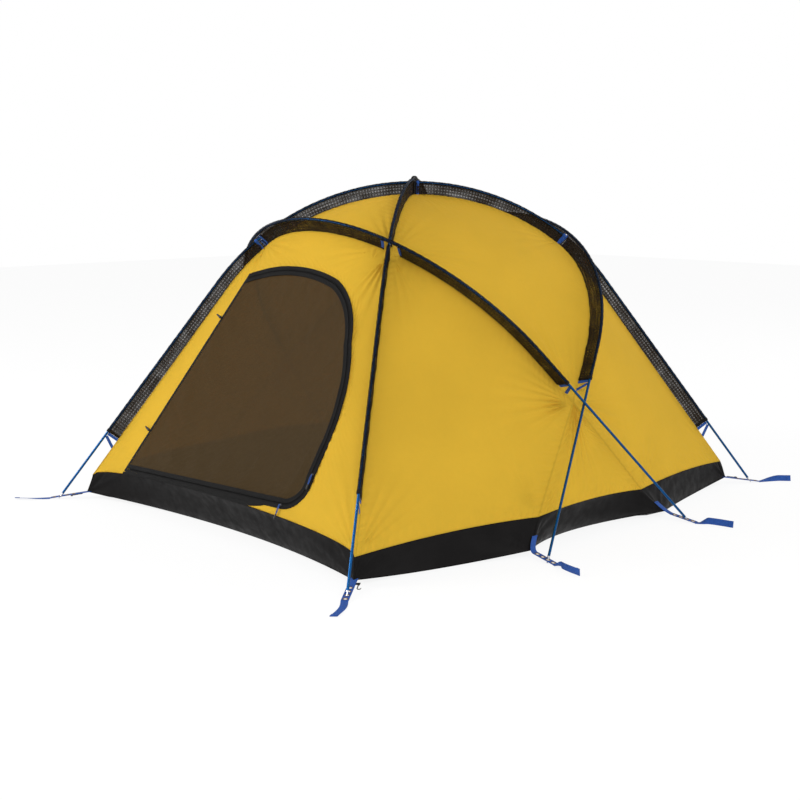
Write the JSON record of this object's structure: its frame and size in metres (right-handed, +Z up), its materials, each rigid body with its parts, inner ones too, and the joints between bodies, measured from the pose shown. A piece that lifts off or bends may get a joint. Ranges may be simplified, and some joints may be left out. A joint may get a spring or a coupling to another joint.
{
  "type": "frame tent",
  "caption": "Geodesic inner tent with crossing poles in mesh sleeves, a tub floor and a zipped mesh door in each end.",
  "frame": {"origin": "on the ground at the centre of the floor", "axes": "+Z up, +Y from the front door towards the rear door, +X to the right of someone facing the front door from outside"},
  "size_m": [2.5144, 2.5896, 1.2926],
  "materials": {
    "coated_floor": "coated woven, slight sheen",
    "canopy_ripstop": "ripstop weave, soft sheen",
    "pole_alloy": "blue anodised",
    "ferrule_alloy": "satin",
    "tip_alloy": "turned",
    "shock_cord": "braided",
    "blue_webbing": "woven webbing",
    "black_webbing": "woven webbing",
    "sleeve_mesh": "open mesh",
    "insect_mesh": "fine open mesh",
    "zip_tape": "woven tape",
    "slider_metal": "black enamel",
    "pull_cord": "braided cord, moulded end",
    "toggle_plastic": "moulded",
    "eyelet_brass": "polished",
    "hook_plastic": "moulded"
  },
  "bodies": {
    "tent_body": {"groundsheet": "coated_floor", "floor_band": "coated_floor", "front_end_panel": "canopy_ripstop", "rear_end_panel": "canopy_ripstop", "front_roof_panel": "canopy_ripstop", "rear_roof_panel": "canopy_ripstop", "left_roof_panel": "canopy_ripstop", "right_roof_panel": "canopy_ripstop", "left_side_panels": "canopy_ripstop", "right_side_panels": "canopy_ripstop", "long_pole_upper": "pole_alloy", "long_pole_lower": "pole_alloy", "front_hoop_pole": "pole_alloy", "rear_hoop_pole": "pole_alloy", "pole_ferrules": "ferrule_alloy", "pole_shock_cords": "shock_cord", "pole_tips": "tip_alloy", "long_sleeve_upper": "sleeve_mesh", "long_sleeve_lower": "sleeve_mesh", "front_hoop_sleeve": "sleeve_mesh", "rear_hoop_sleeve": "sleeve_mesh", "sleeve_end_tapes": "blue_webbing", "front_body_zip_tape": "zip_tape", "rear_body_zip_tape": "zip_tape", "foot_straps": "blue_webbing", "strap_eyelets": "eyelet_brass", "hook_tabs": "black_webbing"},
    "front_door": {"front_door_mesh": "insect_mesh", "front_door_zip_tape": "zip_tape"},
    "front_side_slider": {"front_side_zip_slider": "slider_metal"},
    "front_side_pull": {"front_side_zip_pull": "pull_cord"},
    "front_foot_slider": {"front_foot_zip_slider": "slider_metal"},
    "front_foot_pull": {"front_foot_zip_pull": "pull_cord"},
    "front_lower_toggle_loop": {"front_lower_toggle": "toggle_plastic"},
    "front_upper_toggle_loop": {"front_upper_toggle": "toggle_plastic"},
    "rear_door": {"rear_door_mesh": "insect_mesh", "rear_door_zip_tape": "zip_tape"},
    "rear_side_slider": {"rear_side_zip_slider": "slider_metal"},
    "rear_side_pull": {"rear_side_zip_pull": "pull_cord"},
    "rear_foot_slider": {"rear_foot_zip_slider": "slider_metal"},
    "rear_foot_pull": {"rear_foot_zip_pull": "pull_cord"},
    "rear_lower_toggle_loop": {"rear_lower_toggle": "toggle_plastic"},
    "rear_upper_toggle_loop": {"rear_upper_toggle": "toggle_plastic"},
    "corner_front_left_tail": {"corner_front_left_strap_tail": "blue_webbing"},
    "side_front_left_tail": {"side_front_left_strap_tail": "blue_webbing"},
    "corner_front_right_tail": {"corner_front_right_strap_tail": "blue_webbing"},
    "side_front_right_tail": {"side_front_right_strap_tail": "blue_webbing"},
    "corner_rear_left_tail": {"corner_rear_left_strap_tail": "blue_webbing"},
    "side_rear_left_tail": {"side_rear_left_strap_tail": "blue_webbing"},
    "corner_rear_right_tail": {"corner_rear_right_strap_tail": "blue_webbing"},
    "side_rear_right_tail": {"side_rear_right_strap_tail": "blue_webbing"},
    "front_left_hook": {"front_left_flysheet_hook": "hook_plastic"},
    "front_right_hook": {"front_right_flysheet_hook": "hook_plastic"},
    "rear_left_hook": {"rear_left_flysheet_hook": "hook_plastic"},
    "rear_right_hook": {"rear_right_flysheet_hook": "hook_plastic"}
  },
  "joints": [
    {"name": "front_door_swing", "type": "hinge", "parent": "tent_body", "child": "front_door", "pos_m": [-0.592, -1.0209, 0.13935], "axis": [-0.3342, -0.4352, -0.836], "range_deg": [0, 110]},
    {"name": "front_side_slider_travel", "type": "slide", "parent": "tent_body", "child": "front_side_slider", "axis": [0.069, 0.4606, 0.8849], "range_m": [0, 0.167]},
    {"name": "front_side_pull_swing", "type": "hinge", "parent": "front_side_slider", "child": "front_side_pull", "pos_m": [0.48007, -0.94856, 0.29391], "axis": [-1, 0, 0], "range_deg": [0, 110]},
    {"name": "front_foot_slider_travel", "type": "slide", "parent": "tent_body", "child": "front_foot_slider", "axis": [-0.9993, -0.0169, -0.0325], "range_m": [0, 0.944]},
    {"name": "front_foot_pull_swing", "type": "hinge", "parent": "front_foot_slider", "child": "front_foot_pull", "pos_m": [0.37573, -1.00744, 0.1808], "axis": [-1, 0, 0], "range_deg": [0, 110]},
    {"name": "front_lower_toggle_swing", "type": "hinge", "parent": "tent_body", "child": "front_lower_toggle_loop", "pos_m": [-0.5337, -0.94023, 0.30299], "axis": [0.3342, 0.4352, 0.836], "range_deg": [0, 45]},
    {"name": "front_upper_toggle_swing", "type": "hinge", "parent": "tent_body", "child": "front_upper_toggle_loop", "pos_m": [-0.35586, -0.70861, 0.74792], "axis": [0.3342, 0.4352, 0.836], "range_deg": [0, 45]},
    {"name": "rear_door_swing", "type": "hinge", "parent": "tent_body", "child": "rear_door", "pos_m": [0.592, 1.0209, 0.13935], "axis": [0.3342, 0.4352, -0.836], "range_deg": [0, 110]},
    {"name": "rear_side_slider_travel", "type": "slide", "parent": "tent_body", "child": "rear_side_slider", "axis": [-0.069, -0.4606, 0.8849], "range_m": [0, 0.167]},
    {"name": "rear_side_pull_swing", "type": "hinge", "parent": "rear_side_slider", "child": "rear_side_pull", "pos_m": [-0.48007, 0.94856, 0.29391], "axis": [1, 0, 0], "range_deg": [0, 110]},
    {"name": "rear_foot_slider_travel", "type": "slide", "parent": "tent_body", "child": "rear_foot_slider", "axis": [0.9993, 0.0169, -0.0325], "range_m": [0, 0.944]},
    {"name": "rear_foot_pull_swing", "type": "hinge", "parent": "rear_foot_slider", "child": "rear_foot_pull", "pos_m": [-0.37573, 1.00744, 0.1808], "axis": [1, 0, 0], "range_deg": [0, 110]},
    {"name": "rear_lower_toggle_swing", "type": "hinge", "parent": "tent_body", "child": "rear_lower_toggle_loop", "pos_m": [0.5337, 0.94023, 0.30299], "axis": [-0.3342, -0.4352, 0.836], "range_deg": [0, 45]},
    {"name": "rear_upper_toggle_swing", "type": "hinge", "parent": "tent_body", "child": "rear_upper_toggle_loop", "pos_m": [0.35586, 0.70861, 0.74792], "axis": [-0.3342, -0.4352, 0.836], "range_deg": [0, 45]},
    {"name": "corner_front_left_tail_lift", "type": "hinge", "parent": "tent_body", "child": "corner_front_left_tail", "pos_m": [-0.91365, -1.18101, 0.0015], "axis": [-0.7938, 0.6082, 0], "range_deg": [0, 75]},
    {"name": "side_front_left_tail_lift", "type": "hinge", "parent": "tent_body", "child": "side_front_left_tail", "pos_m": [-1.12409, -0.40304, 0.0015], "axis": [-0.3253, 0.9456, 0], "range_deg": [0, 75]},
    {"name": "corner_front_right_tail_lift", "type": "hinge", "parent": "tent_body", "child": "corner_front_right_tail", "pos_m": [0.91372, -1.1811, 0.0015], "axis": [-0.7938, -0.6082, 0], "range_deg": [0, 75]},
    {"name": "side_front_right_tail_lift", "type": "hinge", "parent": "tent_body", "child": "side_front_right_tail", "pos_m": [1.11089, -0.40358, 0.0015], "axis": [-0.338, -0.9412, 0], "range_deg": [0, 75]},
    {"name": "corner_rear_left_tail_lift", "type": "hinge", "parent": "tent_body", "child": "corner_rear_left_tail", "pos_m": [-0.91372, 1.1811, 0.0015], "axis": [0.7938, 0.6082, 0], "range_deg": [0, 75]},
    {"name": "side_rear_left_tail_lift", "type": "hinge", "parent": "tent_body", "child": "side_rear_left_tail", "pos_m": [-1.11089, 0.40358, 0.0015], "axis": [0.338, 0.9412, 0], "range_deg": [0, 75]},
    {"name": "corner_rear_right_tail_lift", "type": "hinge", "parent": "tent_body", "child": "corner_rear_right_tail", "pos_m": [0.91365, 1.18101, 0.0015], "axis": [0.7938, -0.6082, 0], "range_deg": [0, 75]},
    {"name": "side_rear_right_tail_lift", "type": "hinge", "parent": "tent_body", "child": "side_rear_right_tail", "pos_m": [1.12409, 0.40304, 0.0015], "axis": [0.3253, -0.9456, 0], "range_deg": [0, 75]},
    {"name": "front_left_hook_swing", "type": "hinge", "parent": "tent_body", "child": "front_left_hook", "pos_m": [-0.8264, -1.1033, 0.02037], "axis": [-0.7938, 0.6082, 0], "range_deg": [-15, 60]},
    {"name": "front_right_hook_swing", "type": "hinge", "parent": "tent_body", "child": "front_right_hook", "pos_m": [0.86139, -1.07663, 0.02036], "axis": [-0.7938, -0.6082, 0], "range_deg": [-15, 60]},
    {"name": "rear_left_hook_swing", "type": "hinge", "parent": "tent_body", "child": "rear_left_hook", "pos_m": [-0.86139, 1.07663, 0.02036], "axis": [0.7938, 0.6082, 0], "range_deg": [-15, 60]},
    {"name": "rear_right_hook_swing", "type": "hinge", "parent": "tent_body", "child": "rear_right_hook", "pos_m": [0.8264, 1.1033, 0.02037], "axis": [0.7938, -0.6082, 0], "range_deg": [-15, 60]}
  ]
}
